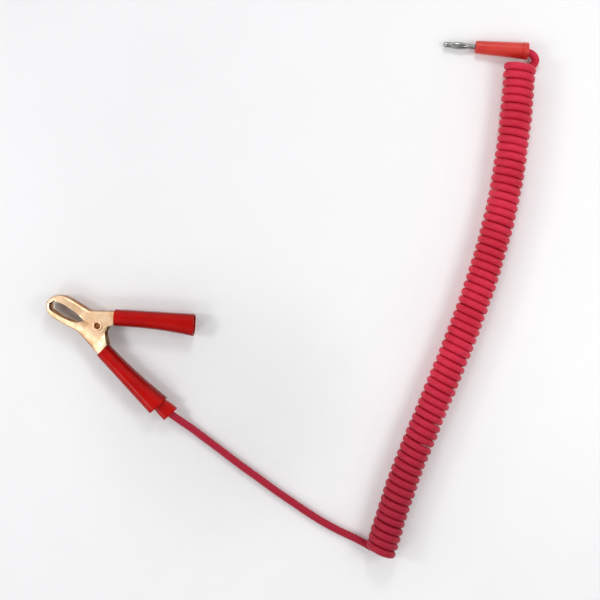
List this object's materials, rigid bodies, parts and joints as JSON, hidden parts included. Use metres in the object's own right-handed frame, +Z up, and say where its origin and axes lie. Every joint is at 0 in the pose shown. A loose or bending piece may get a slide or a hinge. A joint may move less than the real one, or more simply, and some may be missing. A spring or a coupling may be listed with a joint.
{
  "type": "coiled test lead",
  "caption": "Red retractile ground lead with a spring clip of copper-plated folded steel at one end and a sprung 4 mm banana plug at the other.",
  "frame": {"origin": "the flat underside of the clip's pivot rivet, where the clip rests", "axes": "+X along the line where the jaws meet, from their tip towards the handles; +Z up along the pivot, away from the surface that the lead lies on"},
  "size_m": [0.2554, 0.3173, 0.019],
  "materials": {
    "copper_plate": "copper-plated steel, satin with handling marks",
    "spring_steel": "bare spring wire",
    "grip_pvc": "dipped soft PVC, semi-gloss",
    "cord_pvc": "matte crimson jacket",
    "plug_red": "moulded, semi-gloss",
    "nickel": "bright nickel plate",
    "bare_copper": "stranded wire",
    "resistor_coat": "lacquered",
    "shrink_tube": "heat-shrunk"
  },
  "bodies": {
    "clip_base": {"lower_jaw": "copper_plate", "pivot_rivet": "copper_plate", "torsion_spring": "spring_steel", "lower_grip": "grip_pvc", "cord_sleeve": "grip_pvc", "clip_conductor": "bare_copper", "cord_lead": "cord_pvc", "cord_coil": "cord_pvc", "cord_tail": "cord_pvc", "plug_pin": "nickel", "plug_spring": "nickel", "plug_handle": "plug_red", "safety_resistor": "resistor_coat", "resistor_sleeve": "shrink_tube", "splice_ferrule": "nickel", "plug_conductor": "bare_copper"},
    "upper_lever": {"upper_jaw": "copper_plate", "upper_grip": "grip_pvc"}
  },
  "joints": [
    {"name": "jaw_pivot", "type": "hinge", "parent": "clip_base", "child": "upper_lever", "pos_m": [0, 0, 0.0072], "axis": [0, 0, -1], "range_deg": [0, 30], "stiffness_Nm_per_rad": 0.1, "springref_deg": -20.05, "deforming": ["torsion_spring"]}
  ]
}
